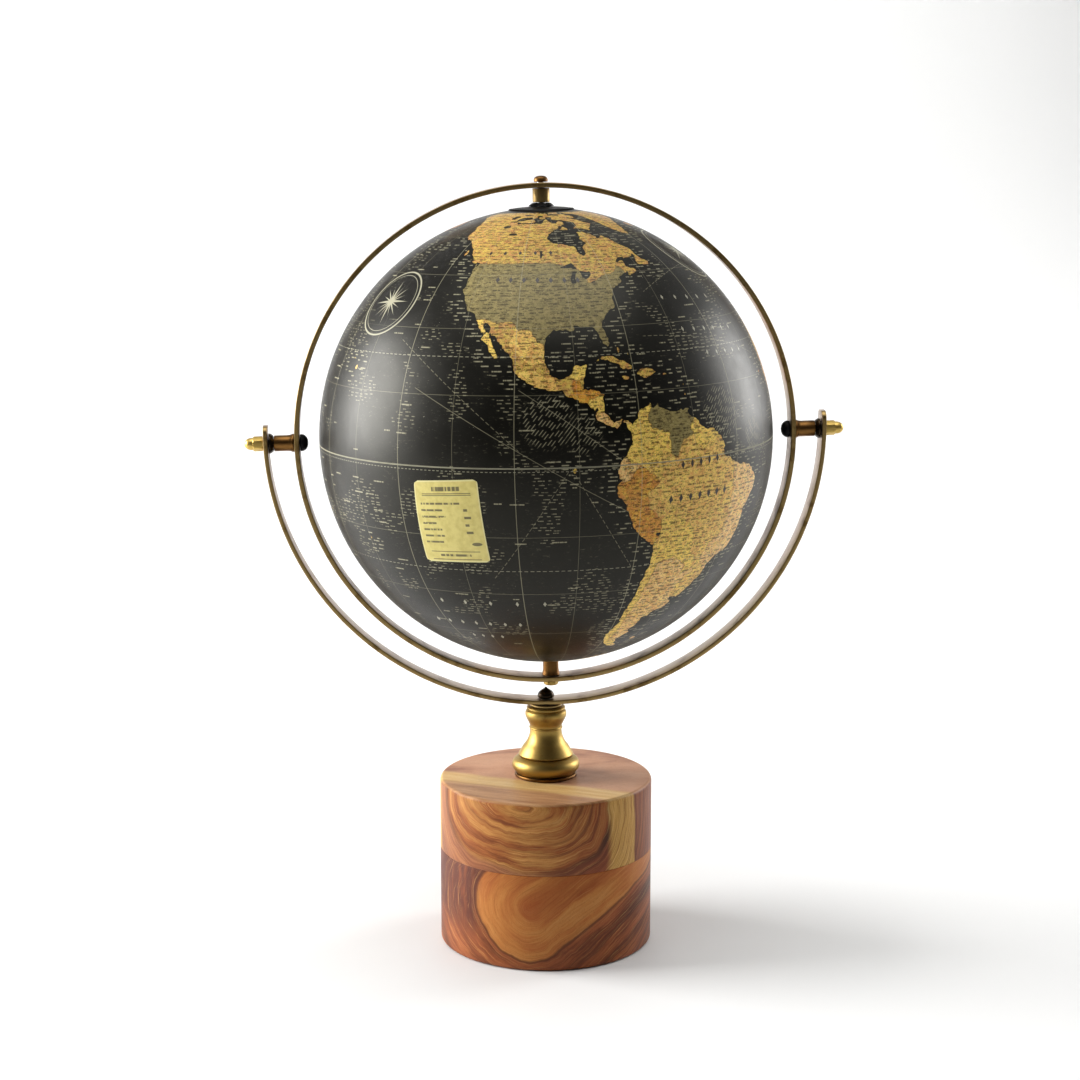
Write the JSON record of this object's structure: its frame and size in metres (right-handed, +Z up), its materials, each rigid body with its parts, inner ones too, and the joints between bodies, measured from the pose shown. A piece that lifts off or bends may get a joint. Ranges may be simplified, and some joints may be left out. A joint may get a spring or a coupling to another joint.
{
  "type": "desktop globe on stand",
  "caption": "World globe that spins in a full meridian ring, tipping in a half-ring yoke on a turned stem and a round wooden base.",
  "frame": {"origin": "on the table under the middle of the round base", "axes": "+Z up, the pivot line of the ring along X, the front (the Americas) facing -Y"},
  "size_m": [0.3044, 0.229, 0.3953],
  "materials": {
    "acacia": "satin lacquer",
    "felt": "felt",
    "antique_brass": "antiqued",
    "satin_brass": "satin",
    "bright_brass": "polished",
    "black_steel": "blackened",
    "zinc_steel": "plated",
    "map_paper": "varnished print",
    "pulp_board": "raw",
    "nylon": "natural"
  },
  "bodies": {
    "stand": {"base_pad": "felt", "base_lower_block": "acacia", "base_upper_block": "acacia", "base_washer": "zinc_steel", "base_nut": "zinc_steel", "tie_rod": "zinc_steel", "foot_washer": "bright_brass", "stem": "satin_brass", "saddle_washer": "antique_brass", "yoke": "antique_brass", "acorn_nut": "black_steel", "pivot_washer_left": "black_steel", "pivot_washer_right": "black_steel"},
    "ring": {"meridian_ring": "antique_brass", "pivot_screw_left": "black_steel", "pivot_screw_right": "black_steel", "pivot_spacer_left": "antique_brass", "pivot_spacer_right": "antique_brass", "cap_nut_left": "bright_brass", "cap_nut_right": "bright_brass", "pole_rod": "zinc_steel", "north_nut": "satin_brass", "north_spacer": "antique_brass", "south_spacer": "antique_brass", "south_nut": "satin_brass"},
    "globe": {"north_half": "map_paper", "south_half": "map_paper", "equator_band": "pulp_board", "north_bush": "nylon", "south_bush": "nylon", "north_collar": "black_steel", "south_collar": "black_steel"}
  },
  "joints": [
    {"name": "ring_tilt", "type": "hinge", "parent": "stand", "child": "ring", "pos_m": [0, 0, 0.265], "axis": [0.9998, 0, 0.0209], "continuous": true},
    {"name": "globe_spin", "type": "hinge", "parent": "ring", "child": "globe", "pos_m": [0, 0, 0.265], "axis": [-0.0209, 0, 0.9998], "continuous": true}
  ]
}
